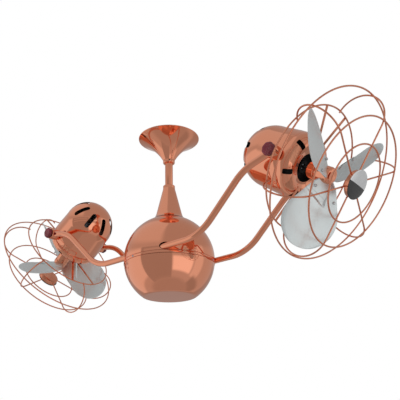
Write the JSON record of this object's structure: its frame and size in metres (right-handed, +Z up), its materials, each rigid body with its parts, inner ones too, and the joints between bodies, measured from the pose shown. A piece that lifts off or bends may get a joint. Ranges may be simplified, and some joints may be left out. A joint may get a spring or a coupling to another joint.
{
  "type": "twin head ceiling fan",
  "caption": "Ceiling fan with a rotating ball hub and two tilting caged fan heads on curved tubular forks.",
  "frame": {"origin": "centre of the ceiling bracket's two screw holes, in the plane of the ceiling", "axes": "+Z up into the ceiling; the two heads lie along +X and -X; the tilt axes run along Y"},
  "size_m": [1.3388, 0.4156, 0.489],
  "materials": {
    "copper": "polished copper plate",
    "copper_cast": "copper plated and polished",
    "copper_wire": "polished copper plate",
    "steel": "zinc plated",
    "bearing_steel": "ground",
    "black_plastic": "moulded",
    "slip_ring_brass": "turned",
    "capacitor_can": "drawn",
    "blade_aluminium": "satin, lightly polished",
    "badge_metal": "bright, with a black half",
    "motor_core": "laminated core, varnished windings",
    "burgundy": "glossy"
  },
  "bodies": {
    "ceiling_mount": {"hanger_bracket": "steel", "hanger_ball": "black_plastic", "cross_pins": "steel", "canopy": "copper", "canopy_collar": "copper", "collar_screw": "steel", "downrod": "copper", "coupling_cover": "copper", "main_shaft": "steel", "slip_ring": "slip_ring_brass", "shaft_nut": "steel"},
    "turret": {"upper_shell": "copper", "equator_band": "copper", "lower_shell": "copper", "band_screws": "steel", "chassis": "steel", "turret_bearings": "bearing_steel", "brush_holder": "black_plastic", "run_capacitors": "capacitor_can", "arm_clamps": "steel", "right_arm_front": "copper", "right_arm_back": "copper", "left_arm_front": "copper", "left_arm_back": "copper"},
    "right_head": {"right_rear_housing": "copper_cast", "right_front_cover": "copper_cast", "right_stator": "motor_core", "right_motor_bearings": "bearing_steel", "right_front_rings": "copper_wire", "right_rear_rings": "copper_wire", "right_cage_ribs": "copper_wire", "right_cage_supports": "copper_wire", "right_badge_cup": "copper_wire", "right_badge": "badge_metal"},
    "right_rotor_set": {"right_rotor": "steel", "right_blade_hub": "copper_cast", "right_blade_1": "blade_aluminium", "right_blade_2": "blade_aluminium", "right_blade_3": "blade_aluminium", "right_blade_screws": "bearing_steel"},
    "right_front_knob": {"right_knob_front": "burgundy"},
    "right_back_knob": {"right_knob_back": "burgundy"},
    "left_head": {"left_rear_housing": "copper_cast", "left_front_cover": "copper_cast", "left_stator": "motor_core", "left_motor_bearings": "bearing_steel", "left_front_rings": "copper_wire", "left_rear_rings": "copper_wire", "left_cage_ribs": "copper_wire", "left_cage_supports": "copper_wire", "left_badge_cup": "copper_wire", "left_badge": "badge_metal"},
    "left_rotor_set": {"left_rotor": "steel", "left_blade_hub": "copper_cast", "left_blade_1": "blade_aluminium", "left_blade_2": "blade_aluminium", "left_blade_3": "blade_aluminium", "left_blade_screws": "bearing_steel"},
    "left_front_knob": {"left_knob_front": "burgundy"},
    "left_back_knob": {"left_knob_back": "burgundy"}
  },
  "joints": [
    {"name": "turret_spin", "type": "hinge", "parent": "ceiling_mount", "child": "turret", "pos_m": [0, 0, -0.382], "axis": [0, 0, 1], "continuous": true},
    {"name": "right_tilt", "type": "hinge", "parent": "turret", "child": "right_head", "pos_m": [0.433, 0, -0.223], "axis": [0, -1, 0], "range_deg": [-47, 33]},
    {"name": "right_blade_spin", "type": "hinge", "parent": "right_head", "child": "right_rotor_set", "pos_m": [0.51687, 0, -0.27746], "axis": [0.8387, 0, -0.5446], "continuous": true},
    {"name": "right_front_knob_turn", "type": "hinge", "parent": "right_head", "child": "right_front_knob", "pos_m": [0.433, -0.1103, -0.223], "axis": [0, -1, 0], "range_deg": [0, 360]},
    {"name": "right_back_knob_turn", "type": "hinge", "parent": "right_head", "child": "right_back_knob", "pos_m": [0.433, 0.1103, -0.223], "axis": [0, 1, 0], "range_deg": [0, 360]},
    {"name": "left_tilt", "type": "hinge", "parent": "turret", "child": "left_head", "pos_m": [-0.433, 0, -0.223], "axis": [0, 1, 0], "range_deg": [-47, 33]},
    {"name": "left_blade_spin", "type": "hinge", "parent": "left_head", "child": "left_rotor_set", "pos_m": [-0.51687, 0, -0.27746], "axis": [-0.8387, 0, -0.5446], "continuous": true},
    {"name": "left_front_knob_turn", "type": "hinge", "parent": "left_head", "child": "left_front_knob", "pos_m": [-0.433, -0.1103, -0.223], "axis": [0, -1, 0], "range_deg": [0, 360]},
    {"name": "left_back_knob_turn", "type": "hinge", "parent": "left_head", "child": "left_back_knob", "pos_m": [-0.433, 0.1103, -0.223], "axis": [0, 1, 0], "range_deg": [0, 360]}
  ]
}
